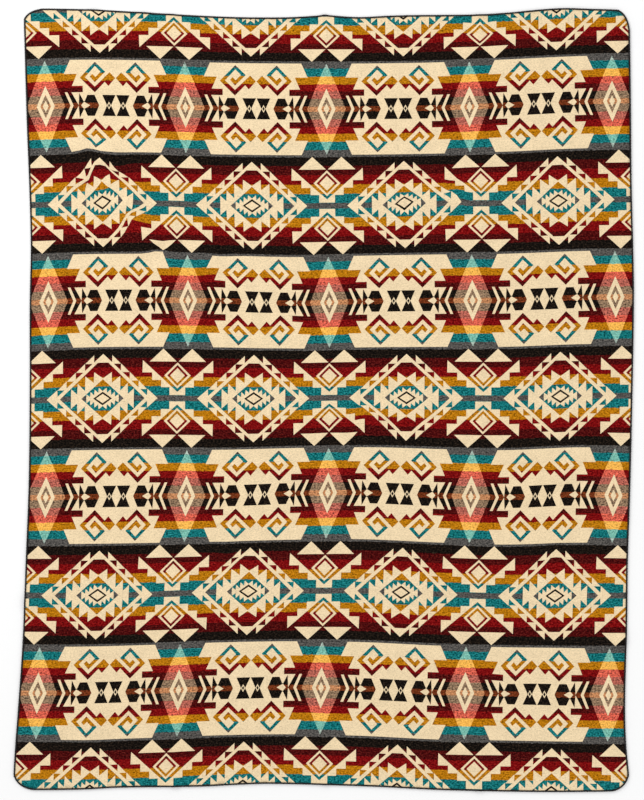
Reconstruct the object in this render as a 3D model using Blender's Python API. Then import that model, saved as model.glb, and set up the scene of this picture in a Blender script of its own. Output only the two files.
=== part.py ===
"""Flat woven alpaca blanket with an overlocked edge, lying face up on the floor.

Metres, +Z up. +X is the photo's right, +Y the photo's top.
The origin is at the bottom centre of the bounding box.
"""
import math

import bmesh
import bpy
from mathutils import Vector
from mathutils.geometry import delaunay_2d_cdt

MM = 0.001

# Cloth and edge sizes, in millimetres.
CLOTH_THICKNESS = 3.0
GAP = 0.3
LIP_THICKNESS = 0.9
LIP_LENGTH = 3.2
WALL_THICKNESS = 1.2
CHAMFER = 0.6

# The four sides as they lie, not quite straight, in millimetres from the
# middle of the blanket: (position along the side, position of the side).
LEFT_SIDE = (
    (-1150, -911),
    (-1078, -910),
    (-884, -896),
    (-707, -884),
    (-471, -875),
    (-236, -866),
    (59, -863),
    (295, -863),
    (442, -860),
    (619, -864),
    (825, -872),
    (1108, -880),
    (1150, -881),
)
RIGHT_SIDE = (
    (-1150, 899),
    (-1100, 901),
    (-1050, 897),
    (-1002, 892),
    (-884, 890),
    (-648, 896),
    (-471, 898),
    (-295, 904),
    (-59, 910),
    (295, 916),
    (442, 914),
    (648, 909),
    (884, 907),
    (1096, 904),
    (1150, 903),
)
TOP_SIDE = (
    (-900, 1154),
    (-816, 1154),
    (-675, 1151),
    (-480, 1140),
    (-362, 1133),
    (-215, 1128),
    (-38, 1130),
    (6, 1136),
    (65, 1128),
    (227, 1134),
    (433, 1136),
    (521, 1140),
    (698, 1155),
    (816, 1152),
    (900, 1150),
)
BOTTOM_SIDE = (
    (-925, -1148),
    (-834, -1147),
    (-716, -1146),
    (-598, -1140),
    (-362, -1137),
    (-186, -1129),
    (-9, -1132),
    (168, -1138),
    (345, -1147),
    (639, -1153),
    (816, -1152),
    (900, -1150),
)
# Each corner: where its two sides would meet, x and y, then how far its curve
# runs along the end of the blanket and along the side.
CORNERS = {
    "bottom_left": (-911, -1147, 66, 50),
    "bottom_right": (901, -1151, 56, 54),
    "top_right": (904, 1151, 42, 70),
    "top_left": (-880, 1155, 66, 38),
}
CORNER_STEPS = 6
CIRCLE_PULL = 0.5523
SIDE_SPACING = 76.0
# A ridge that reaches past this y runs out over the end of the blanket.
END_Y = 1140.0

# Soft ridges the cloth lies in: (name, start x, y, end x, y, half width, height).
RIDGES = (
    ("fold_left", -447, 1160, -441, -1160, 24, 3.2),
    ("fold_middle", 5, 1160, 2, -1160, 22, 2.6),
    ("fold_right", 457, 1160, 454, -1160, 24, 3.2),
    ("ripple_upper_left", -716, 664, -622, 740, 46, 8.5),
    ("ripple_diamond_side", -578, 575, -524, 486, 40, 9.0),
    ("ripple_below_diamond", -540, 446, -448, 505, 38, 7.0),
    ("ripple_right_row", 325, 588, 452, 600, 40, 5.0),
    ("ripple_centre", -24, -42, 190, -32, 36, 4.5),
    ("ripple_top_a", -676, 1160, -668, 1082, 34, 5.0),
    ("ripple_top_b", -530, 1160, -522, 1070, 32, 4.5),
    ("ripple_lower_left", -892, -602, -800, -560, 40, 5.5),
    ("ripple_lower_right", 742, -742, 870, -700, 42, 5.0),
)
RIDGE_STATION = 72.0
RIDGE_POINT_GAP = 15.0
FIELD_SPACING = 104.0
FIELD_WIDTH = 1820.0
FIELD_LENGTH = 2300.0

# Distances in from the outer edge of the rings of points in the cloth.
CLOTH_EDGE_INSET = WALL_THICKNESS + GAP
EDGE_FLAT_INSET = 8.0
FLOOR_INSET = 17.0
FIELD_INSET = 62.0


def hermite(table, where):
    """Smooth value of a two-column table at one place."""
    last = len(table) - 2
    index = 0
    while index < last and table[index + 1][0] < where:
        index += 1
    x0, y0 = table[index]
    x1, y1 = table[index + 1]
    before = table[max(index - 1, 0)]
    after = table[min(index + 2, len(table) - 1)]
    slope0 = (y1 - before[1]) / (x1 - before[0])
    slope1 = (after[1] - y0) / (after[0] - x0)
    span = x1 - x0
    t = (where - x0) / span
    return (
        (2 * t**3 - 3 * t**2 + 1) * y0
        + (t**3 - 2 * t**2 + t) * span * slope0
        + (3 * t**2 - 2 * t**3) * y1
        + (t**3 - t**2) * span * slope1
    )


def left_point(y):
    return Vector((hermite(LEFT_SIDE, y), y))


def right_point(y):
    return Vector((hermite(RIGHT_SIDE, y), y))


def top_point(x):
    return Vector((x, hermite(TOP_SIDE, x)))


def bottom_point(x):
    return Vector((x, hermite(BOTTOM_SIDE, x)))


def spaced(start, end, extra):
    """Places from start to end at the side spacing, with the extra ones kept."""
    keep = sorted([value for value in extra if start < value < end])
    stops = [start] + keep + [end]
    places = []
    for low, high in zip(stops, stops[1:]):
        steps = max(1, round((high - low) / SIDE_SPACING))
        for step in range(steps):
            places.append(low + (high - low) * step / steps)
    places.append(end)
    return places


def corner_arc(start, corner, end):
    """Rounded corner from start to end, both points left out."""
    handle_a = start.lerp(corner, CIRCLE_PULL)
    handle_b = end.lerp(corner, CIRCLE_PULL)
    points = []
    for step in range(1, CORNER_STEPS):
        t = step / CORNER_STEPS
        points.append(
            start * (1 - t) ** 3
            + handle_a * 3 * t * (1 - t) ** 2
            + handle_b * 3 * t**2 * (1 - t)
            + end * t**3
        )
    return points


def ridge_edge_places(side_y):
    """Places along a top or bottom side where a ridge runs out over it."""
    places = []
    for _, x0, y0, x1, y1, half_width, _ in RIDGES:
        if min(y0, y1) < side_y < max(y0, y1):
            x = x0 + (x1 - x0) * (side_y - y0) / (y1 - y0)
            places.extend((x - half_width, x, x + half_width))
    return places


def side_between(point_at, low_corner, high_corner):
    """Points up a long side, between the curves of its two corners."""
    low = CORNERS[low_corner]
    high = CORNERS[high_corner]
    return [point_at(y) for y in spaced(low[1] + low[3], high[1] - high[3], ())]


def end_between(point_at, left_corner, right_corner, ridges_past):
    """Points along a short end, between the curves of its two corners."""
    left = CORNERS[left_corner]
    right = CORNERS[right_corner]
    places = spaced(left[0] + left[2], right[0] - right[2], ridge_edge_places(ridges_past))
    return [point_at(x) for x in places]


def outline():
    """Outer edge of the blanket, anticlockwise seen from above."""
    bottom = end_between(bottom_point, "bottom_left", "bottom_right", -END_Y)
    right = side_between(right_point, "bottom_right", "top_right")
    top = end_between(top_point, "top_left", "top_right", END_Y)
    top.reverse()
    left = side_between(left_point, "bottom_left", "top_left")
    left.reverse()
    meet = {name: Vector(row[:2]) for name, row in CORNERS.items()}
    points = list(bottom)
    points += corner_arc(bottom[-1], meet["bottom_right"], right[0])
    points += right
    points += corner_arc(right[-1], meet["top_right"], top[0])
    points += top
    points += corner_arc(top[-1], meet["top_left"], left[0])
    points += left
    points += corner_arc(left[-1], meet["bottom_left"], bottom[0])
    low = Vector((min(p.x for p in points), min(p.y for p in points)))
    high = Vector((max(p.x for p in points), max(p.y for p in points)))
    middle = (low + high) / 2
    return [point - middle for point in points]


def outward_normals(points):
    normals = []
    count = len(points)
    for index, point in enumerate(points):
        before = (point - points[index - 1]).normalized()
        after = (points[(index + 1) % count] - point).normalized()
        along = (before + after).normalized()
        normals.append(Vector((along.y, -along.x)))
    return normals


def inset(points, normals, distance):
    return [point - normal * distance for point, normal in zip(points, normals)]


def ridge_lift(point):
    """How far the cloth stands off the floor at one place."""
    lift = 0.0
    for _, x0, y0, x1, y1, half_width, height in RIDGES:
        start = Vector((x0, y0))
        along = Vector((x1 - x0, y1 - y0))
        share = (point - start).dot(along) / along.length_squared
        nearest = start + along * min(1.0, max(0.0, share))
        distance = (point - nearest).length / half_width
        if distance < 1.0:
            lift = max(lift, height * (1 - distance**2) ** 2)
    return lift


def inside(point, loop):
    crossings = 0
    for index, start in enumerate(loop):
        end = loop[(index + 1) % len(loop)]
        if (start.y > point.y) != (end.y > point.y):
            x = start.x + (end.x - start.x) * (point.y - start.y) / (end.y - start.y)
            crossings += x > point.x
    return crossings % 2 == 1


def field_points(limit):
    """Points inside the cloth: rows along every ridge, and a wide grid between."""
    rows = []
    for name, x0, y0, x1, y1, half_width, _ in RIDGES:
        start = Vector((x0, y0))
        along = Vector((x1 - x0, y1 - y0))
        across = Vector((-along.y, along.x)).normalized()
        steps = max(1, round(along.length / RIDGE_STATION))
        offsets = (-1.0, 0.0, 1.0)
        if name.startswith("ripple"):
            offsets = (-1.0, -0.5, 0.0, 0.5, 1.0)
        for step in range(steps + 1):
            for offset in offsets:
                rows.append(start + along * (step / steps) + across * half_width * offset)
        if name.startswith("ripple"):
            rows.append(start - along.normalized() * half_width)
            rows.append(start + along + along.normalized() * half_width)
    rows = [point for point in rows if inside(point, limit)]
    kept = []
    for point in rows:
        if all((point - other).length > RIDGE_POINT_GAP for other in kept):
            kept.append(point)
    columns = round(FIELD_WIDTH / FIELD_SPACING)
    lines = round(FIELD_LENGTH / FIELD_SPACING)
    for column in range(columns + 1):
        for line in range(lines + 1):
            stagger = 0.5 * (line % 2)
            point = Vector((
                (column + stagger - columns / 2) * FIELD_SPACING,
                (line - lines / 2) * FIELD_SPACING,
            ))
            clear = all((point - other).length > FIELD_SPACING * 0.5 for other in kept)
            if clear and inside(point, limit):
                kept.append(point)
    return kept


def new_object(name, mesh, colour, roughness):
    material = bpy.data.materials.new(name + "_material")
    material.use_nodes = True
    shader = material.node_tree.nodes["Principled BSDF"]
    shader.inputs["Base Color"].default_value = colour
    shader.inputs["Roughness"].default_value = roughness
    shader.inputs["Metallic"].default_value = 0.0
    mesh.materials.append(material)
    item = bpy.data.objects.new(name, mesh)
    bpy.context.scene.collection.objects.link(item)
    return item


def mesh_from(name, vertices, faces):
    mesh = bpy.data.meshes.new(name)
    mesh.from_pydata([vertex * MM for vertex in vertices], [], faces)
    work = bmesh.new()
    work.from_mesh(mesh)
    bmesh.ops.triangulate(work, faces=work.faces[:])
    bmesh.ops.recalc_face_normals(work, faces=work.faces[:])
    work.to_mesh(mesh)
    work.free()
    return mesh


def build_cloth(edge, normals):
    """The woven panel: one closed sheet, flat on the floor between its ridges."""
    rim = inset(edge, normals, CLOTH_EDGE_INSET)
    shelf = inset(edge, normals, EDGE_FLAT_INSET)
    floor_loop = inset(edge, normals, FLOOR_INSET)
    limit = inset(edge, normals, FIELD_INSET)
    count = len(rim)
    points = rim + shelf + floor_loop + field_points(limit)
    edges = []
    for start in (0, count, 2 * count):
        for index in range(count):
            edges.append((start + index, start + (index + 1) % count))
    plan, _, triangles, sources, _, _ = delaunay_2d_cdt(points, edges, [], 1, 0.01)
    edge_lift = LIP_THICKNESS + GAP
    under = []
    for place, source in zip(plan, sources):
        lift = ridge_lift(place)
        if source and min(source) < 2 * count:
            lift = ridge_lift(rim[min(source) % count]) + edge_lift
        under.append(Vector((place.x, place.y, lift)))
    over = [vertex + Vector((0, 0, CLOTH_THICKNESS)) for vertex in under]
    size = len(under)
    position = {}
    for index, source in enumerate(sources):
        for item in source:
            position[item] = index
    faces = [tuple(reversed(face)) for face in triangles]
    faces += [tuple(size + corner for corner in face) for face in triangles]
    for index in range(count):
        a = position[index]
        b = position[(index + 1) % count]
        faces.append((a, b, size + b, size + a))
    return mesh_from("woven_panel", under + over, faces)


def build_edging(edge, normals):
    """The overlock: a channel of yarn that wraps the cut edge of the cloth."""
    tall = CLOTH_THICKNESS + 2 * (GAP + LIP_THICKNESS)
    inner = -(WALL_THICKNESS + GAP + LIP_LENGTH)
    profile = (
        (inner, 0.0),
        (-CHAMFER, 0.0),
        (0.0, CHAMFER),
        (0.0, tall - CHAMFER),
        (-CHAMFER, tall),
        (inner, tall),
        (inner, tall - LIP_THICKNESS),
        (-WALL_THICKNESS, tall - LIP_THICKNESS),
        (-WALL_THICKNESS, LIP_THICKNESS),
        (inner, LIP_THICKNESS),
    )
    vertices = []
    for point, normal in zip(edge, normals):
        lift = ridge_lift(point - normal * CLOTH_EDGE_INSET)
        for out, up in profile:
            place = point + normal * out
            vertices.append(Vector((place.x, place.y, up + lift)))
    faces = []
    size = len(profile)
    count = len(edge)
    for station in range(count):
        a = station * size
        b = (station + 1) % count * size
        for step in range(size):
            after = (step + 1) % size
            faces.append((a + step, b + step, b + after, a + after))
    return mesh_from("edge_overlock", vertices, faces)


for old in list(bpy.data.objects):
    bpy.data.objects.remove(old, do_unlink=True)

blanket_edge = outline()
edge_normals = outward_normals(blanket_edge)
new_object("woven_panel", build_cloth(blanket_edge, edge_normals), (0.42, 0.24, 0.13, 1.0), 0.92)
new_object("edge_overlock", build_edging(blanket_edge, edge_normals), (0.012, 0.011, 0.011, 1.0), 0.9)
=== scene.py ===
"""Looks of the woven alpaca blanket, which lies flat and is seen from straight above."""
import math

import bmesh
import bpy
import numpy as np
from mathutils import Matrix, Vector
from mathutils.geometry import delaunay_2d_cdt
from mathutils.kdtree import KDTree


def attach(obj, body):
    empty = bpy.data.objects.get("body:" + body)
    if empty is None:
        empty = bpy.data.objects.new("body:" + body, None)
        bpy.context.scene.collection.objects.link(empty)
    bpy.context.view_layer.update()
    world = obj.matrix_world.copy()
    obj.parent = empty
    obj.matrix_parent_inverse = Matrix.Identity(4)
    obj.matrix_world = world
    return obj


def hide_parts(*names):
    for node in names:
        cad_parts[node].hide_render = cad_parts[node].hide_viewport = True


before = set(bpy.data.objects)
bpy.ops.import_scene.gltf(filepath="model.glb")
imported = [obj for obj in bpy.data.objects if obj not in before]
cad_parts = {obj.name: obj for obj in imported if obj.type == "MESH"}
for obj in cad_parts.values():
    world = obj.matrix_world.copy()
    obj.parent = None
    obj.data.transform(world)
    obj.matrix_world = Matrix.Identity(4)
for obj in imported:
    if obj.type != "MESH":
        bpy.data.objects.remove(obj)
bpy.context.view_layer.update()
scene = bpy.context.scene

# Camera
# It hangs straight over the blanket, so the cloth shows as flat as it lies.
# One photo pixel covers PIXEL metres of the floor.
PIXEL = 0.002946
PHOTO_HEIGHT_PX = 800
VIEW_CENTRE = (-0.0052, 0.0003)
LENS_MM = 85.0
SENSOR_MM = 36.0
CAMERA_REACH = 60.0
camera_data = bpy.data.cameras.new("camera")
camera_data.lens = LENS_MM
camera_data.sensor_width = SENSOR_MM
camera_data.clip_end = CAMERA_REACH
camera = bpy.data.objects.new("camera", camera_data)
scene.collection.objects.link(camera)
camera_height = PHOTO_HEIGHT_PX * PIXEL * LENS_MM / SENSOR_MM
camera.location = (VIEW_CENTRE[0], VIEW_CENTRE[1], camera_height)
scene.camera = camera

# The blanket's lie
# The cloth was spread by hand. It keeps three lengthwise fold lines and a few
# small ripples, which are the soft ridges of the CAD panel, in millimetres:
# start x, y, end x, y, half width, height.
MM = 0.001
RIDGES = (
    (-447, 1160, -441, -1160, 24, 3.2),
    (5, 1160, 2, -1160, 22, 2.6),
    (457, 1160, 454, -1160, 24, 3.2),
    (-716, 664, -622, 740, 46, 8.5),
    (-578, 575, -524, 486, 40, 9.0),
    (-540, 446, -448, 505, 38, 7.0),
    (325, 588, 452, 600, 40, 5.0),
    (-24, -42, 190, -32, 36, 4.5),
    (-676, 1160, -668, 1082, 34, 5.0),
    (-530, 1160, -522, 1070, 32, 4.5),
    (-892, -602, -800, -560, 40, 5.5),
    (742, -742, 870, -700, 42, 5.0),
)
CLOTH_THICKNESS = 0.003
# The edging holds the cloth's rim a little off the floor: how far, the distance
# from the rim over which the cloth stays level, and where it is down on the floor.
EDGE_LIFT = 0.0012
EDGE_LEVEL_TO = 0.007
FLOOR_FROM = 0.016
# An upright face's normal rises less than this, and corners are matched to 10 micrometres.
UPRIGHT_TILT = 0.1
PLAN_DIGITS = 5


def anticlockwise(points):
    after = np.roll(points, -1, axis=0)
    turning = (points[:, 0] * after[:, 1] - points[:, 1] * after[:, 0]).sum()
    return points if turning > 0 else points[::-1]


def rim_points(node):
    """Plan of a CAD sheet's edge, one point a corner, from its upright faces."""
    mesh = bpy.data.objects[node].data
    beside = {}
    for face in mesh.polygons:
        if abs(face.normal.z) < UPRIGHT_TILT:
            places = [mesh.vertices[index].co for index in face.vertices]
            keys = [(round(place.x, PLAN_DIGITS), round(place.y, PLAN_DIGITS)) for place in places]
            for here, after in zip(keys, keys[1:] + keys[:1]):
                if here != after:
                    beside.setdefault(here, set()).add(after)
                    beside.setdefault(after, set()).add(here)
    start = min(beside)
    loop = [start]
    came_from = None
    while True:
        here = loop[-1]
        onward = [key for key in sorted(beside[here]) if key != came_from]
        came_from = here
        if onward[0] == start and len(loop) > 2:
            break
        loop.append(onward[0])
    return anticlockwise(np.array(loop))


def rounded(points, steps):
    """A closed loop drawn smoothly through its points."""
    before = np.roll(points, 1, axis=0)
    after = np.roll(points, -1, axis=0)
    beyond = np.roll(points, -2, axis=0)
    rows = []
    for step in range(steps):
        t = step / steps
        rows.append(
            0.5
            * (
                2 * points
                + (after - before) * t
                + (2 * before - 5 * points + 4 * after - beyond) * t**2
                + (3 * points - before - 3 * after + beyond) * t**3
            )
        )
    return np.stack(rows, axis=1).reshape(-1, 2)


def smooth_step(values):
    values = np.clip(values, 0.0, 1.0)
    return values * values * (3 - 2 * values)


def ridge_lift(x, y):
    """How far the cloth stands off the floor at each place."""
    lift = np.zeros_like(x)
    for ridge in RIDGES:
        x0, y0, x1, y1, half_width, height = (value * MM for value in ridge)
        along_x = x1 - x0
        along_y = y1 - y0
        share = ((x - x0) * along_x + (y - y0) * along_y) / (along_x**2 + along_y**2)
        share = np.clip(share, 0.0, 1.0)
        distance = np.hypot(x - x0 - along_x * share, y - y0 - along_y * share)
        near = np.clip(1 - (distance / half_width) ** 2, 0.0, 1.0)
        lift = np.maximum(lift, height * near**2)
    return lift


RIM_STEPS = 5
rim = rounded(rim_points("woven_panel"), RIM_STEPS)
rim_tree = KDTree(len(rim))
for number, place in enumerate(rim):
    rim_tree.insert((place[0], place[1], 0.0), number)
rim_tree.balance()


def rim_distance(x, y):
    """Distance to the cloth's edge, exact enough near it."""
    return np.array([rim_tree.find((px, py, 0.0))[2] for px, py in zip(x, y)])


def floor_gap(x, y, distance):
    """Height of the cloth's underside: its ridges, and the edging's thickness."""
    rise = 1 - smooth_step((distance - EDGE_LEVEL_TO) / (FLOOR_FROM - EDGE_LEVEL_TO))
    return ridge_lift(x, y) + EDGE_LIFT * rise


# The weave's chart
# The pattern is charted in units of 2.946 mm, u across the blanket and v along
# it, from its middle. Two bands take turns: large toothed diamonds, centred
# every 195 units from v = 0, and hooks between tinted diamonds, centred halfway.
# The cloth isn't square on the floor, so each row sags and each column leans.
UNIT = 0.002946
BAND_REPEAT = 195.0
HOOK_ROWS = (292.5, 97.5, -97.5, -292.5)
DIAMOND_ROWS = (390.0, 195.0, 0.0, -195.0, -390.0)
HOOK_HALF = 71.0
DIAMOND_HALF = 76.1

# How far each row lies above its even place, in millimetres, at these places across.
ACROSS_MM = (-900, -730, -495, -310, -75, 105, 340, 525, 760, 900)
ROW_SAG_MM = (
    (390.0, (-8, -5, -6, -14, -16, -17, -12, -4, 6, 9)),
    (292.5, (-6, 1, -2, -7, -10, -9, -6, 1, 12, 15)),
    (195.0, (-5, 0, 0, -6, -8, -6, -2, 1, 10, 12)),
    (97.5, (-8, 0, 2, 0, -7, -2, 1, 2, 10, 12)),
    (0.0, (-8, -2, 1, -1, 0, 2, 1, 0, 8, 8)),
    (-97.5, (-6, -3, 0, 0, 8, 10, 1, -4, 4, 0)),
    (-195.0, (-5, -6, -2, 5, 8, 8, -2, -8, -6, -6)),
    (-292.5, (-6, -6, 1, 7, 11, 7, -4, -7, -12, -12)),
    (-390.0, (-8, -7, -3, 6, 7, 3, -8, -11, -12, -14)),
)
ROW_ZERO_MM = 5
# How far the columns lie to the right of their even places, in millimetres, at
# each v: on the left, in the middle and on the right.
LEAN_AT_U = (-250, 0, 250)
COLUMN_LEAN_MM = (
    (390.0, (10, 7, 12)),
    (292.5, (18, 8, 12)),
    (195.0, (22, 10, 18)),
    (97.5, (26, 16, 22)),
    (0.0, (22, 16, 24)),
    (-97.5, (18, 12, 16)),
    (-195.0, (7, 0, 8)),
    (-292.5, (-6, -8, 1)),
    (-390.0, (-17, -14, -3)),
)
# Small shifts of the columns, the same in every row: u, millimetres.
COLUMN_SHIFT_MM = (
    (-228, 0),
    (-142, -2),
    (-75, 1),
    (0, 0),
    (75, 2),
    (142, 1),
    (228, 1),
    (304, 0),
)
# The large diamonds' band is woven a little taller than the hooks' band.
BAND_SWELL = 0.5
# Where ripples drag the pattern, from the top down, in millimetres: x, y, radius,
# shift right, shift up.
DRAGS_MM = (
    (459, 1095, 40, 1, -8),
    (-692, 735, 28, 0, 11),
    (-662, 708, 30, -6, 0),
    (-610, 688, 32, -2, -15),
    (-640, 665, 38, -3, 14),
    (-702, 655, 24, 8, -8),
    (383, 652, 26, 1, -7),
    (-608, 600, 32, -1, 13),
    (385, 600, 30, 4, 12),
    (275, 582, 26, 0, 8),
    (235, 580, 24, 0, 6),
    (-820, 575, 80, 3, -2),
    (-562, 528, 32, -7, 15),
    (-478, 470, 24, 0, -6),
    (-487, 432, 28, 0, 9),
    (-300, 425, 36, 0, -3),
    (-322, 372, 32, 0, 6),
    (-115, 208, 45, 0, 5),
    (20, -55, 40, 1, 6),
    (120, -60, 40, -2, 11),
    (190, -74, 45, 0, 6),
    (270, -76, 45, 0, 6),
    (-285, -452, 26, 0, -5),
    (683, -466, 30, 0, 6),
    (-245, -490, 30, 0, 5),
    (549, -808, 45, -1, -4),
    (-690, -1055, 60, -2, -4),
)


def eased(where, places, values):
    """Reads a table smoothly, with no kink at its places, one column a point."""
    places = np.asarray(places, dtype=float)
    values = np.asarray(values, dtype=float)
    if values.ndim == 1:
        values = np.repeat(values[:, None], len(where), axis=1)
    slopes = np.gradient(values, places, axis=0)
    index = np.clip(np.searchsorted(places, where) - 1, 0, len(places) - 2)
    column = np.arange(len(where))
    span = places[index + 1] - places[index]
    t = np.clip((where - places[index]) / span, 0.0, 1.0)
    return (
        (2 * t**3 - 3 * t**2 + 1) * values[index, column]
        + (t**3 - 2 * t**2 + t) * span * slopes[index, column]
        + (3 * t**2 - 2 * t**3) * values[index + 1, column]
        + (t**3 - t**2) * span * slopes[index + 1, column]
    )


def read_rows(across, places, v, table):
    """Reads a table of rows, each a v and its values at the places across."""
    rows = np.stack([eased(across, places, values) for _, values in table])
    return eased(-v, [-row_v for row_v, _ in table], rows)


def chart_to_floor(u, v):
    """Where a place on the chart lies on the floor, in metres."""
    lean = read_rows(u, LEAN_AT_U, v, COLUMN_LEAN_MM)
    shift_at = [row[0] for row in COLUMN_SHIFT_MM]
    shift = eased(u, shift_at, [row[1] for row in COLUMN_SHIFT_MM])
    x = u * UNIT + (lean + shift) * MM
    swell = BAND_SWELL * np.sin(math.tau * v / BAND_REPEAT)
    sag = read_rows(x / MM, ACROSS_MM, v, ROW_SAG_MM)
    y = (v + swell) * UNIT + (ROW_ZERO_MM + sag) * MM
    drag_x = np.zeros_like(x)
    drag_y = np.zeros_like(y)
    for drag in DRAGS_MM:
        from_x, from_y, radius, right, up = (value * MM for value in drag)
        near = np.exp(-((x - from_x) ** 2 + (y - from_y) ** 2) / radius**2)
        drag_x += right * near
        drag_y += up * near
    return x + drag_x, y + drag_y


SEARCH_STEPS = 12


def floor_to_chart(x, y):
    """The chart place woven at each place on the floor, found in a few steps."""
    u = x / UNIT
    v = y / UNIT
    for _ in range(SEARCH_STEPS):
        at_x, at_y = chart_to_floor(u, v)
        u = u + (x - at_x) / UNIT
        v = v + (y - at_y) / UNIT
    return u, v


# The chart's figures
# Each figure is a polygon of chart units with what is woven inside it: cream,
# the striped ground, plain black, or the tint, where light and dark yarns mix.
# A later figure lies over an earlier one.
GROUND = 0.0
DARK = 0.2
TINT = 0.5
CREAM = 1.0


def four_sided(path):
    """A closed figure from its first quarter, which runs from u = 0 to v = 0."""
    right = path + [(u, -v) for u, v in reversed(path) if v != 0]
    left = [(-u, v) for u, v in reversed(right) if u != 0]
    return right + left


def diamond(half_u, half_v, centre=(0.0, 0.0)):
    u, v = centre
    return [(u + half_u, v), (u, v + half_v), (u - half_u, v), (u, v - half_v)]


def side_pair(figure):
    return [figure, [(-u, v) for u, v in figure]]


def end_pair(figure):
    return [figure, [(u, -v) for u, v in figure]]


def four_times(figure):
    return [copy for side in side_pair(figure) for copy in end_pair(side)]


def hook_cell():
    """The cream field between two tinted diamonds, with its hooks and hourglasses."""
    field = [
        (0, 46.9), (45.8, 46.9), (52.2, 32.5), (39.1, 32.5), (44.4, 20.1), (33.5, 20.1),
        (33.5, 13.5), (45.0, 13.5), (38.0, 0.3), (37.2, 12.9), (32.9, 4.1), (31.9, 4.3),
        (29.1, 10.8), (21.8, 10.8), (17.2, 0),
    ]
    hook = [
        (11.1, 24.2), (21.4, 13.3), (36.3, 28.5), (20.7, 44.8), (10.4, 34.6), (21.2, 23.8),
        (26.1, 29.5), (23.7, 32.4), (20.4, 29.2), (15.2, 34.7), (20.7, 40.5), (31.1, 28.9),
        (21.3, 19.2), (6.0, 34.2), (0.3, 28.2), (7.5, 19.9),
    ]
    hourglass = [(0.3, 10.8), (14.0, 10.8), (9.3, 0), (14.0, -10.8), (0.3, -10.8), (5.1, 0)]
    chevron = [(51.7, 13.7), (49.0, 13.7), (43.2, 0), (49.0, -13.7), (51.7, -13.7), (46.2, 0)]
    kite = [(35.6, 0), (32.6, 3.7), (26.4, 0), (32.6, -3.7)]
    figures = [(CREAM, four_sided(field))]
    figures += [(GROUND, figure) for figure in four_times(hook)]
    figures += [(DARK, figure) for figure in side_pair(hourglass)]
    figures += [(CREAM, figure) for figure in side_pair(diamond(2.1, 3.9, (7.2, 0)))]
    figures += [(DARK, figure) for figure in side_pair(diamond(1.2, 2.2, (7.2, 0)))]
    figures += [(CREAM, figure) for figure in side_pair(chevron)]
    figures += [(CREAM, figure) for figure in side_pair(kite)]
    return figures


def tinted_diamond():
    """The tall diamond of mixed yarns, with a cream ring and heart."""
    return [
        (TINT, four_sided([(0, 46.6), (6.5, 32.5), (19.3, 0)])),
        (CREAM, diamond(9.1, 21.0)),
        (TINT, diamond(5.3, 12.1)),
        (CREAM, diamond(2.9, 5.9)),
    ]


# The large diamond's cream ring, by its outer edge.
RING_HALF_U = 48.2
RING_HALF_V = 43.7
RING_SLOPE = RING_HALF_V / RING_HALF_U


def flag(number):
    """One of the four cream flags outside each side of the large diamond."""
    inner = 9.2 + 9.1 * number
    tip = 42.5 - 8.33 * number
    outer = 18.1 + 9.0 * number
    low = 34.0 - 8.37 * number
    line = (RING_HALF_U - inner) * RING_SLOPE
    foot = RING_HALF_U - low / RING_SLOPE
    return [(outer, low), (inner, tip), (inner, line - 1), (foot - 1, low)]


def large_diamond():
    """The cream ring with its flags, the toothed ring and the serrated heart."""
    arrow = [(56.1, 0), (45.6, 9.2), (45.2, 2), (45.2, -2), (45.6, -9.2)]
    toothed = [
        (0, 19.7), (8.9, 25.8), (9.2, 15.4), (17.7, 21.9), (17.9, 7.5), (25.3, 15.0),
        (25.7, 4.3), (31.8, 9.7), (31.8, 0),
    ]
    serrated = [
        (0, 7.3), (3.9, 10.5), (4.5, 5.6), (8.1, 8.8), (8.7, 3.2), (12.2, 6.6), (12.7, 1.7),
        (16.3, 4.2), (16.5, 0),
    ]
    figures = [(CREAM, diamond(RING_HALF_U, RING_HALF_V))]
    for number in range(4):
        figures += [(CREAM, figure) for figure in four_times(flag(number))]
    figures += [(CREAM, figure) for figure in side_pair(arrow)]
    figures.append((GROUND, four_sided([(0, 35.1), (5.3, 35.1), (42.9, 0)])))
    figures.append((CREAM, four_sided(toothed)))
    figures.append((GROUND, diamond(21.4, 18.9)))
    figures.append((CREAM, four_sided(serrated)))
    figures.append((DARK, diamond(9.5, 6.7)))
    figures.append((CREAM, diamond(6.9, 4.5)))
    return figures


def medallion():
    """The small ringed diamonds with stepped wings, between two large diamonds."""
    roof = [(0.9, 36.0), (28.4, 36.0), (14.6, 48.7)]
    wing = [
        (0, 6.2), (35.5, 37.3), (35.8, 25.2), (25.8, 25.2), (25.8, 17.8), (16.6, 17.8),
        (16.6, 10.7), (7.9, 10.7), (7.9, 3.1), (0, 3.1),
    ]
    figures = [(CREAM, figure) for figure in four_times(roof)]
    figures += [(CREAM, figure) for figure in four_times(wing)]
    for kind, half_u, half_v in ((CREAM, 13.4, 12.8), (GROUND, 10.4, 10.4), (CREAM, 7.4, 7.3)):
        figures += [(kind, figure) for figure in end_pair(diamond(half_u, half_v, (0, 22.3)))]
    return figures


def placed(figures, centre_u, centre_v):
    moved = []
    for kind, figure in figures:
        moved.append((kind, [(centre_u + u, centre_v + v) for u, v in figure]))
    return moved


def whole_chart():
    figures = []
    for v in HOOK_ROWS:
        for number in (-3, -1, 1, 3):
            figures += placed(hook_cell(), number * HOOK_HALF, v)
        for number in (-4, -2, 0, 2, 4):
            figures += placed(tinted_diamond(), number * HOOK_HALF, v)
    for v in DIAMOND_ROWS:
        for number in (-3, -1, 1, 3):
            figures += placed(large_diamond(), number * DIAMOND_HALF, v)
        for number in (-4, -2, 0, 2, 4):
            figures += placed(medallion(), number * DIAMOND_HALF, v)
    return figures


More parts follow.
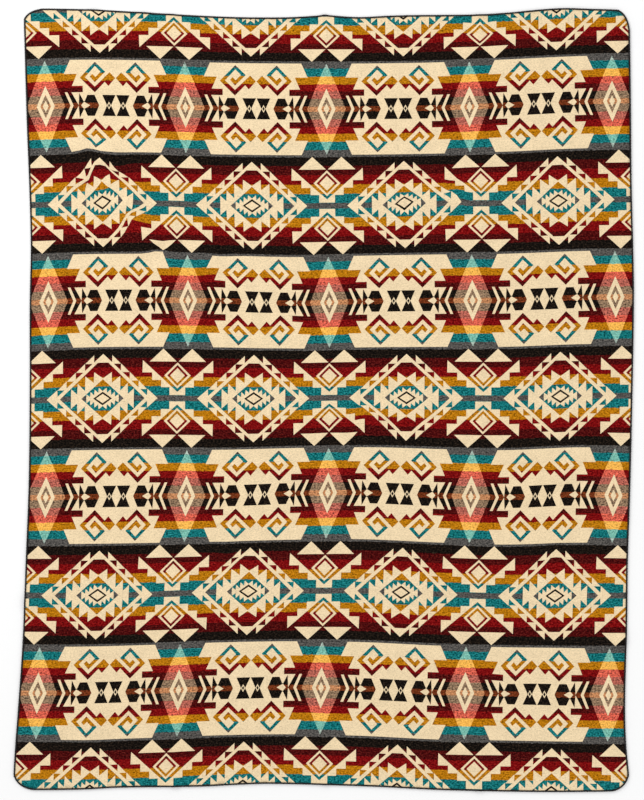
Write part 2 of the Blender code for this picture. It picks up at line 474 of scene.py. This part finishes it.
# The cloth
# One length of double-faced cloth, 3 mm thick. The figures' edges are cut into
# the mesh, so each face wears one kind of yarn. The back has the same figures
# with cream and stripes changed over, as a double weave does.
# No side in the mesh is longer than so many chart units, and between the figures
# it has a grid of points so many metres apart.
LONGEST_SIDE = 8.0
GRID_STEP = 0.016
GRID_CLEARANCE = 0.4 * GRID_STEP
MERGE_DISTANCE = 0.00002


def divided(figure):
    """A figure's corners, with more points along a side the cloth bends."""
    points = []
    for (u0, v0), (u1, v1) in zip(figure, figure[1:] + figure[:1]):
        steps = max(1, math.ceil(math.hypot(u1 - u0, v1 - v0) / LONGEST_SIDE))
        for step in range(steps):
            share = step / steps
            points.append((u0 + (u1 - u0) * share, v0 + (v1 - v0) * share))
    return points


def cut_cloth():
    """Plan points, triangles and each triangle's kind of weave."""
    places = []
    faces = []
    kinds = []
    for kind, figure in whole_chart():
        chart = np.array(divided(figure))
        x, y = chart_to_floor(chart[:, 0], chart[:, 1])
        corners = anticlockwise(np.stack([x, y], axis=1))
        faces.append(list(range(len(places), len(places) + len(corners))))
        kinds.append(kind)
        places += [Vector(corner) for corner in corners]
    rim_face = list(range(len(places), len(places) + len(rim)))
    places += [Vector(corner) for corner in rim]
    low = rim.min(axis=0)
    high = rim.max(axis=0)
    columns = np.arange(low[0] + GRID_STEP / 2, high[0], GRID_STEP)
    rows = np.arange(low[1] + GRID_STEP / 2, high[1], GRID_STEP)
    grid_x, grid_y = (part.ravel() for part in np.meshgrid(columns, rows))
    clear = rim_distance(grid_x, grid_y) > GRID_CLEARANCE
    places += [Vector(place) for place in zip(grid_x[clear], grid_y[clear])]
    plan, _, triangles, _, _, origins = delaunay_2d_cdt(
        places, [], faces + [rim_face], 0, MERGE_DISTANCE
    )
    rim_number = len(faces)
    kept = []
    weave = []
    for triangle, origin in zip(triangles, origins):
        if rim_number in origin:
            figures = [number for number in origin if number != rim_number]
            kept.append(tuple(triangle))
            weave.append(kinds[max(figures)] if figures else GROUND)
    return np.array(plan), kept, weave


def open_edges(triangles):
    """The outer edges of a flat patch, each with the patch on its left."""
    edges = set()
    for a, b, c in triangles:
        edges.update(((a, b), (b, c), (c, a)))
    return [(a, b) for a, b in edges if (b, a) not in edges]


def cloth_mesh():
    plan, triangles, weave = cut_cloth()
    x = plan[:, 0]
    y = plan[:, 1]
    under = floor_gap(x, y, rim_distance(x, y))
    count = len(plan)
    vertices = np.concatenate([
        np.stack([x, y, under], axis=1),
        np.stack([x, y, under + CLOTH_THICKNESS], axis=1),
    ])
    sides = open_edges(triangles)
    faces = [(c, b, a) for a, b, c in triangles]
    faces += [(a + count, b + count, c + count) for a, b, c in triangles]
    faces += [(a, b, b + count, a + count) for a, b in sides]
    used = sorted({corner for face in faces for corner in face})
    number = {old: new for new, old in enumerate(used)}
    faces = [tuple(number[corner] for corner in face) for face in faces]
    mesh = bpy.data.meshes.new("blanket_cloth")
    mesh.from_pydata(vertices[used].tolist(), [], faces)
    figure = mesh.attributes.new("figure", "FLOAT", "FACE")
    changed_over = [1.0 - kind for kind in weave]
    figure.data.foreach_set("value", changed_over + list(weave) + [GROUND] * len(sides))
    corners = np.empty(len(mesh.loops), dtype=np.int32)
    mesh.loops.foreach_get("vertex_index", corners)
    flat = vertices[used]
    woven = np.stack(floor_to_chart(flat[:, 0], flat[:, 1]), axis=1) * UNIT
    chart_layer = mesh.uv_layers.new(name="weave_chart")
    chart_layer.data.foreach_set("uv", woven[corners].ravel())
    flat = flat[corners]
    lay_out_bake(mesh, flat, len(triangles) * 3)
    for polygon in mesh.polygons:
        polygon.use_smooth = polygon.index < 2 * len(triangles)
    return mesh


# The bake's map, as shares of its width and height.
MAP_MARGIN = 0.004
MAP_HEIGHT = 0.992
FRONT_WIDTH = 0.744
BACK_FROM = 0.756
BACK_WIDTH = 0.236


def lay_out_bake(mesh, flat, face_corners):
    """The face fills most of the bake's map, and the back a strip beside it."""
    layer = mesh.uv_layers.new(name="OFBake", do_init=False)
    low = rim.min(axis=0)
    share = (flat[:, :2] - low) / (rim.max(axis=0) - low)
    place = np.empty((len(flat), 2))
    back = slice(0, face_corners)
    front = slice(face_corners, 2 * face_corners)
    edge = slice(2 * face_corners, None)
    place[front] = share[front] * (FRONT_WIDTH, MAP_HEIGHT) + (MAP_MARGIN, MAP_MARGIN)
    place[back] = share[back] * (BACK_WIDTH, MAP_HEIGHT) + (BACK_FROM, MAP_MARGIN)
    place[edge] = share[edge] * (FRONT_WIDTH, MAP_HEIGHT) + (MAP_MARGIN, MAP_MARGIN)
    layer.data.foreach_set("uv", place.ravel())


# Under the studio light a white sheet is this much brighter than a photo's white.
LIGHT_LEVEL = 1.08


def yarn(red, green, blue, flecks=1.0):
    """What a yarn reflects, from its colour in the photo, 0 to 255, and its flecks.

    The curve is the usual one from a picture's values to the light they stand for.
    """
    light = []
    for value in (red, green, blue):
        value /= 255
        linear = value / 12.92 if value <= 0.04045 else ((value + 0.055) / 1.055) ** 2.4
        light.append(linear / LIGHT_LEVEL)
    return (*light, flecks)


# Yarns of the ground, and what each becomes mixed with light yarn in the tint.
YARNS = {
    "grey": (yarn(83, 81, 78, 0.8), yarn(168, 184, 172, 0.5)),
    "teal": (yarn(5, 111, 113, 0.9), yarn(123, 188, 171, 0.45)),
    "ochre": (yarn(184, 118, 5, 0.6), yarn(250, 186, 84, 0.4)),
    "crimson": (yarn(121, 0, 5, 0.7), yarn(217, 97, 77, 0.75)),
    "maroon": (yarn(73, 0, 3, 0.9), yarn(180, 98, 83, 0.85)),
    "black": (yarn(13, 9, 6, 1.0), yarn(142, 116, 91, 0.85)),
    "rust": (yarn(111, 48, 18, 0.8), yarn(195, 134, 90, 0.6)),
}
CREAM_YARN = yarn(243, 219, 178)
LOOSE_FIBRE = yarn(150, 120, 96)
# Stripes from a large diamond's middle line out to a hook row's, in chart units.
STRIPES = (
    (0.0, "grey"),
    (2.6, "teal"),
    (11.8, "ochre"),
    (20.6, "crimson"),
    (30.4, "maroon"),
    (39.4, "black"),
    (48.2, "grey"),
    (55.6, "teal"),
    (63.9, "ochre"),
    (71.9, "crimson"),
    (79.2, "maroon"),
    (86.6, "black"),
    (94.8, "rust"),
)


class Nodes:
    """Adds nodes to one material's tree and wires them."""

    def __init__(self, material):
        material.use_nodes = True
        self.tree = material.node_tree
        self.shader = self.tree.nodes["Principled BSDF"]

    def wire(self, socket, value):
        if isinstance(value, bpy.types.NodeSocket):
            self.tree.links.new(value, socket)
        elif value is not None:
            socket.default_value = value

    def add(self, kind, inputs=(), **settings):
        node = self.tree.nodes.new(kind)
        for name, value in settings.items():
            setattr(node, name, value)
        for name, value in dict(inputs).items():
            self.wire(node.inputs[name], value)
        return node

    def maths(self, operation, a, b=None, c=None):
        node = self.add("ShaderNodeMath", operation=operation)
        for socket, value in zip(node.inputs, (a, b, c)):
            self.wire(socket, value)
        return node.outputs[0]

    def noise(self, vector, sizes, detail, roughness):
        """Noise whose coarsest grains are so many a metre along each axis."""
        scaled = self.add("ShaderNodeVectorMath", {0: vector, 1: sizes}, operation="MULTIPLY")
        inputs = {"Vector": scaled.outputs[0], "Scale": 1.0, "Detail": detail, "Roughness": roughness}
        return self.add("ShaderNodeTexNoise", inputs, noise_dimensions="3D").outputs["Fac"]

    def bump(self, height, depth, strength):
        """Relief that only the light sees, for fibres finer than the mesh."""
        inputs = {"Height": height, "Distance": depth, "Strength": strength}
        node = self.add("ShaderNodeBump", inputs)
        self.wire(self.shader.inputs["Normal"], node.outputs["Normal"])

    def mix(self, share, a, b, blend="MIX"):
        """Mixes two colours, which are the node's sockets 6 and 7."""
        inputs = {0: share, 6: a, 7: b}
        return self.add("ShaderNodeMix", inputs, data_type="RGBA", blend_type=blend).outputs[2]

    def stripes(self, share, column):
        """A ramp of the stripes, in the ground's yarns or the tint's, with their flecks."""
        node = self.add("ShaderNodeValToRGB", {"Fac": share})
        ramp = node.color_ramp
        ramp.interpolation = "CONSTANT"
        while len(ramp.elements) < len(STRIPES):
            ramp.elements.new(0.5)
        for element, (start, name) in zip(ramp.elements, STRIPES):
            element.position = start / (BAND_REPEAT / 2)
            element.color = YARNS[name][column]
        return node.outputs


# Grain of the wool, each a noise: its grains a metre, its detail and its roughness.
STREAKS = ((90.0, 340.0, 1.0), 2.0, 0.6)
SPECKS = ((190.0, 240.0, 1.0), 4.0, 0.72)
CLOUDS = ((26.0, 34.0, 1.0), 2.0, 0.5)
SPECK_SHARE = 0.75
# Flecks in the heathered yarns: how far the noise lightens or darkens them, and
# the cream, and the darkest and lightest of them.
FLECK_DEPTH = 11.0
CREAM_FLECK_DEPTH = 1.8
FLECK_DARKEST = 0.15
FLECK_LIGHTEST = 2.4
LOOSE_FIBRE_SHARE = 0.08
# The cloth's broad unevenness: its darkest tone, and how far the tones spread.
TONE_LOW = 0.88
TONE_SPREAD = 0.24
# A face is plain black where its kind is this near to that kind.
FIGURE_MATCH = 0.02
# How raggedly one stripe passes into the next.
STRIPE_STRAY = 2.0 * UNIT
# Ten bands keep every place above zero, and a half puts a diamonds' row mid-turn.
BANDS_BELOW = 10.5
# The rows of the weave, and how far painted shade in their hollows darkens the cloth.
WEFT_ROW = 0.0024
WARP_ROW = 0.0032
WEAVE_SHADE = 0.16
# The relief of the weave and of the grain, and how matt the wool is.
WEAVE_RELIEF = 0.4
GRAIN_RELIEF = 1.6
RELIEF_DEPTH = 0.0006
RELIEF_STRENGTH = 0.6
ROUGHNESS_LOW = 0.86
ROUGHNESS_SPREAD = 0.12


def woven_material():
    """Brushed wool: heathered yarns, weft rows with painted shade in their hollows, and soft light
    across the nap.
    """
    material = bpy.data.materials.new("woven_wool")
    nodes = Nodes(material)
    chart = nodes.add("ShaderNodeUVMap", uv_map="weave_chart").outputs["UV"]
    streaks = nodes.noise(chart, *STREAKS)
    specks = nodes.noise(chart, *SPECKS)
    clouds = nodes.noise(chart, *CLOUDS)
    place = nodes.add("ShaderNodeSeparateXYZ", {0: chart}).outputs
    # The stripes: how far each place is from its large diamonds' middle line.
    ragged = nodes.maths("SUBTRACT", streaks, 0.5)
    v = nodes.maths("MULTIPLY_ADD", ragged, STRIPE_STRAY, place["Y"])
    band = nodes.maths("DIVIDE", v, BAND_REPEAT * UNIT)
    turn = nodes.maths("FRACT", nodes.maths("ADD", band, BANDS_BELOW))
    share = nodes.maths("ABSOLUTE", nodes.maths("MULTIPLY_ADD", turn, 2.0, -1.0))
    figure = nodes.add("ShaderNodeAttribute", attribute_name="figure").outputs["Fac"]
    in_dark = nodes.maths("COMPARE", figure, DARK, FIGURE_MATCH)
    in_tint = nodes.maths("GREATER_THAN", figure, (GROUND + TINT) / 2)
    in_cream = nodes.maths("GREATER_THAN", figure, (TINT + CREAM) / 2)
    ground = nodes.stripes(share, 0)
    tint = nodes.stripes(share, 1)
    colour = nodes.mix(in_tint, ground["Color"], tint["Color"])
    colour = nodes.mix(in_dark, colour, YARNS["black"][0])
    colour = nodes.mix(in_cream, colour, CREAM_YARN)
    # The flecks: each yarn has its own strength of them, and the cream the least.
    grain = nodes.maths("MULTIPLY", specks, SPECK_SHARE)
    grain = nodes.maths("MULTIPLY_ADD", streaks, 1.0 - SPECK_SHARE, grain)
    fleck = nodes.maths("SUBTRACT", grain, 0.5)
    more = nodes.maths("SUBTRACT", tint["Alpha"], ground["Alpha"])
    flecks = nodes.maths("MULTIPLY_ADD", in_tint, more, ground["Alpha"])
    depth = nodes.maths("MULTIPLY", flecks, FLECK_DEPTH)
    less = nodes.maths("SUBTRACT", CREAM_FLECK_DEPTH, depth)
    depth = nodes.maths("MULTIPLY_ADD", in_cream, less, depth)
    light = nodes.maths("MULTIPLY_ADD", fleck, depth, 1.0)
    light = nodes.maths("MINIMUM", light, FLECK_LIGHTEST)
    light = nodes.maths("MAXIMUM", light, FLECK_DARKEST)
    tone = nodes.maths("MULTIPLY_ADD", clouds, TONE_SPREAD, TONE_LOW)
    light = nodes.maths("MULTIPLY", light, tone)
    # The weave's rows, whose hollows get painted shade, and loose fibres over the lightest grains.
    weft = nodes.maths("SINE", nodes.maths("MULTIPLY", place["Y"], math.tau / WEFT_ROW))
    warp = nodes.maths("SINE", nodes.maths("MULTIPLY", place["X"], math.tau / WARP_ROW))
    weave = nodes.maths("MULTIPLY", weft, warp)
    # Painted shade: the colour darkens in the hollows between the weave's rows.
    light = nodes.maths("MULTIPLY", light, nodes.maths("MULTIPLY_ADD", weave, WEAVE_SHADE, 1.0))
    shade = nodes.add("ShaderNodeCombineColor", {0: light, 1: light, 2: light}).outputs[0]
    colour = nodes.mix(1.0, colour, shade, "MULTIPLY")
    loose = nodes.maths("MULTIPLY", fleck, FLECK_DEPTH * LOOSE_FIBRE_SHARE)
    loose = nodes.maths("MAXIMUM", loose, 0.0)
    colour = nodes.mix(loose, colour, LOOSE_FIBRE)
    nodes.wire(nodes.shader.inputs["Base Color"], colour)
    rough = nodes.maths("MULTIPLY_ADD", specks, ROUGHNESS_SPREAD, ROUGHNESS_LOW)
    nodes.wire(nodes.shader.inputs["Roughness"], rough)
    nodes.shader.inputs["Specular IOR Level"].default_value = 0.03
    nodes.shader.inputs["Sheen Weight"].default_value = 0.02
    nodes.shader.inputs["Sheen Roughness"].default_value = 0.6
    nap = nodes.maths("MULTIPLY", grain, GRAIN_RELIEF)
    height = nodes.maths("MULTIPLY_ADD", weave, WEAVE_RELIEF, nap)
    nodes.bump(height, RELIEF_DEPTH, RELIEF_STRENGTH)
    return material


def new_piece(name, mesh, material):
    mesh.materials.clear()
    mesh.materials.append(material)
    piece = bpy.data.objects.new(name, mesh)
    scene.collection.objects.link(piece)
    return piece


cloth = new_piece("blanket_cloth", cloth_mesh(), woven_material())
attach(cloth, "root")
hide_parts("woven_panel")

# The overlocked edge
# Black yarn is stitched over the cut edge all the way round: slanting loops
# side by side over a padded core.
STITCH_PITCH = 0.0046
STITCH_RADIUS = 0.0011
STITCH_SIDES = 6
# One loop over the edge: along the edge, out from the cloth's rim, up, in millimetres.
STITCH_PATH_MM = (
    (-1.6, -3.6, 4.6),
    (-1.0, -2.2, 5.0),
    (-0.2, 0.0, 4.7),
    (0.4, 1.0, 3.6),
    (0.8, 1.2, 2.4),
    (1.2, 0.9, 1.6),
    (1.8, -0.4, 1.2),
    (2.6, -3.4, 1.2),
)
# Section of the core: out from the rim, up, in millimetres.
CORE_PROFILE_MM = ((-3.2, 0.3), (0.4, 0.4), (1.0, 1.2), (1.0, 4.2), (0.4, 5.0), (-3.2, 5.1))
# The edging's fibres: grains a metre along each axis, detail, roughness.
FIBRES = ((1400.0, 1400.0, 1400.0), 3.0, 0.6)
# The edging's dark and light fibres, each from a level of that noise.
EDGE_TONES = ((0.3, yarn(14, 12, 12)), (0.75, yarn(46, 42, 41)))
FIBRE_DEPTH = 0.0003
FIBRE_STRENGTH = 0.6


def yarn_material():
    """Twisted black yarn, a little lighter where its fibres stand up."""
    material = bpy.data.materials.new("edge_yarn")
    nodes = Nodes(material)
    place = nodes.add("ShaderNodeTexCoord").outputs["Object"]
    fibre = nodes.noise(place, *FIBRES)
    ramp = nodes.add("ShaderNodeValToRGB", {"Fac": fibre})
    for element, (level, tone) in zip(ramp.color_ramp.elements, EDGE_TONES):
        element.position = level
        element.color = tone
    nodes.wire(nodes.shader.inputs["Base Color"], ramp.outputs["Color"])
    nodes.shader.inputs["Roughness"].default_value = 0.85
    nodes.shader.inputs["Specular IOR Level"].default_value = 0.2
    nodes.shader.inputs["Sheen Weight"].default_value = 0.1
    nodes.bump(fibre, FIBRE_DEPTH, FIBRE_STRENGTH)
    return material


def tube_mesh(name, path, radius, sides):
    """A round yarn along a path of points, with closed ends."""
    work = bmesh.new()
    rings = []
    for index, point in enumerate(path):
        before = path[max(index - 1, 0)]
        after = path[min(index + 1, len(path) - 1)]
        along = (after - before).normalized()
        side = along.cross(Vector((1.0, 0.0, 0.0))).normalized()
        other = along.cross(side)
        ring = []
        for step in range(sides):
            turn = math.tau * step / sides
            offset = side * math.cos(turn) + other * math.sin(turn)
            ring.append(work.verts.new(point + offset * radius))
        rings.append(ring)
    for low, high in zip(rings, rings[1:]):
        for step in range(sides):
            after = (step + 1) % sides
            work.faces.new((low[step], low[after], high[after], high[step]))
    work.faces.new(rings[0])
    work.faces.new(rings[-1])
    bmesh.ops.recalc_face_normals(work, faces=work.faces[:])
    mesh = bpy.data.meshes.new(name)
    work.to_mesh(mesh)
    work.free()
    mesh.shade_smooth()
    return mesh


def stitch_group(stitch, material):
    """Geometry nodes that set one stitch at every pitch along a loop of edges."""
    group = bpy.data.node_groups.new("edge_stitches", "GeometryNodeTree")
    face = group.interface
    face.new_socket("Geometry", in_out="INPUT", socket_type="NodeSocketGeometry")
    pitch = face.new_socket("Stitch Pitch", in_out="INPUT", socket_type="NodeSocketFloat")
    pitch.default_value = STITCH_PITCH
    face.new_socket("Geometry", in_out="OUTPUT", socket_type="NodeSocketGeometry")
    kinds = {
        "inside": "NodeGroupInput",
        "curve": "GeometryNodeMeshToCurve",
        "even": "GeometryNodeResampleCurve",
        "tangent": "GeometryNodeInputTangent",
        "turn": "FunctionNodeAlignRotationToVector",
        "shape": "GeometryNodeObjectInfo",
        "set_out": "GeometryNodeInstanceOnPoints",
        "real": "GeometryNodeRealizeInstances",
        "yarn": "GeometryNodeSetMaterial",
        "outside": "NodeGroupOutput",
    }
    made = {name: group.nodes.new(kind) for name, kind in kinds.items()}
    made["even"].mode = "LENGTH"
    made["turn"].axis = "X"
    made["turn"].pivot_axis = "Z"
    made["shape"].inputs["Object"].default_value = stitch
    made["yarn"].inputs["Material"].default_value = material
    link = group.links.new
    link(made["inside"].outputs["Geometry"], made["curve"].inputs["Mesh"])
    link(made["curve"].outputs["Curve"], made["even"].inputs["Curve"])
    link(made["inside"].outputs["Stitch Pitch"], made["even"].inputs["Length"])
    link(made["tangent"].outputs["Tangent"], made["turn"].inputs["Vector"])
    link(made["even"].outputs["Curve"], made["set_out"].inputs["Points"])
    link(made["turn"].outputs["Rotation"], made["set_out"].inputs["Rotation"])
    link(made["shape"].outputs["Geometry"], made["set_out"].inputs["Instance"])
    link(made["set_out"].outputs["Instances"], made["real"].inputs["Geometry"])
    link(made["real"].outputs["Geometry"], made["yarn"].inputs["Geometry"])
    link(made["yarn"].outputs["Geometry"], made["outside"].inputs["Geometry"])
    return group


def stitches_mesh(material):
    path = [Vector((along, -out, up)) * MM for along, out, up in STITCH_PATH_MM]
    stitch_shape = tube_mesh("stitch", path, STITCH_RADIUS, STITCH_SIDES)
    stitch = bpy.data.objects.new("stitch", stitch_shape)
    loop = bpy.data.meshes.new("edge_loop")
    lift = ridge_lift(rim[:, 0], rim[:, 1])
    points = np.column_stack([rim, lift]).tolist()
    count = len(points)
    loop.from_pydata(points, [(i, (i + 1) % count) for i in range(count)], [])
    carrier = bpy.data.objects.new("edge_loop", loop)
    scene.collection.objects.link(carrier)
    modifier = carrier.modifiers.new("stitches", "NODES")
    modifier.node_group = stitch_group(stitch, material)
    bpy.context.view_layer.update()
    evaluated = carrier.evaluated_get(bpy.context.evaluated_depsgraph_get())
    mesh = bpy.data.meshes.new_from_object(evaluated)
    bpy.data.objects.remove(carrier)
    bpy.data.objects.remove(stitch)
    return mesh


def edge_mesh(material):
    """The stitches and the core they wrap, as one mesh."""
    work = bmesh.new()
    work.from_mesh(stitches_mesh(material))
    along = np.roll(rim, -1, axis=0) - np.roll(rim, 1, axis=0)
    along /= np.linalg.norm(along, axis=1)[:, None]
    outward = np.stack([along[:, 1], -along[:, 0]], axis=1)
    lift = ridge_lift(rim[:, 0], rim[:, 1])
    rings = []
    for place, out, up in zip(rim, outward, lift):
        ring = []
        for far, high in CORE_PROFILE_MM:
            spot = place + out * far * MM
            ring.append(work.verts.new((spot[0], spot[1], up + high * MM)))
        rings.append(ring)
    size = len(CORE_PROFILE_MM)
    for low, high in zip(rings, rings[1:] + rings[:1]):
        for step in range(size):
            after = (step + 1) % size
            face = work.faces.new((low[step], high[step], high[after], low[after]))
            face.smooth = True
    mesh = bpy.data.meshes.new("edge_stitching")
    work.to_mesh(mesh)
    work.free()
    return mesh


edge_yarn = yarn_material()
edging = new_piece("edge_stitching", edge_mesh(edge_yarn), edge_yarn)
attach(edging, "root")
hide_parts("edge_overlock")

# The floor
# A plain pale floor that the blanket lies on. It is a hair below the cloth's
# underside, so that the two faces don't share one plane.
FLOOR_SIZE = 60.0
FLOOR_HEIGHT = -0.0004
FLOOR_COLOUR = (0.93, 0.93, 0.93, 1.0)
floor_mesh = bpy.data.meshes.new("floor")
half = FLOOR_SIZE / 2
corners = [(x * half, y * half, FLOOR_HEIGHT) for x, y in ((-1, -1), (1, -1), (1, 1), (-1, 1))]
floor_mesh.from_pydata(corners, [], [(0, 1, 2, 3)])
floor_material = bpy.data.materials.new("floor")
floor_nodes = Nodes(floor_material)
floor_nodes.shader.inputs["Base Color"].default_value = FLOOR_COLOUR
floor_nodes.shader.inputs["Roughness"].default_value = 0.9
floor_nodes.shader.inputs["Specular IOR Level"].default_value = 0.1
floor = new_piece("floor", floor_mesh, floor_material)

# Light
# Even studio light from all round, with one large soft lamp a little to the
# upper left, so the ridges and the weave show faintly.
SKY_COLOUR = (1.0, 1.0, 1.0, 1.0)
SKY_STRENGTH = 0.75
# Soft lamps: name, place, size in metres, power in watts.
LAMPS = (
    ("key", (-3.2, 3.4, 3.6), 3.0, 150.0),
    ("fill", (3.6, -2.6, 4.2), 4.0, 60.0),
)
world = bpy.data.worlds.new("studio")
world.use_nodes = True
sky = world.node_tree.nodes["Background"]
sky.inputs["Color"].default_value = SKY_COLOUR
sky.inputs["Strength"].default_value = SKY_STRENGTH
scene.world = world
for name, place, size, power in LAMPS:
    lamp_data = bpy.data.lights.new(name, "AREA")
    lamp_data.shape = "SQUARE"
    lamp_data.size = size
    lamp_data.energy = power
    lamp = bpy.data.objects.new(name, lamp_data)
    lamp.location = place
    lamp.rotation_euler = (-Vector(place)).to_track_quat("-Z", "Y").to_euler()
    scene.collection.objects.link(lamp)
scene.view_settings.view_transform = "Standard"
scene.view_settings.look = "None"
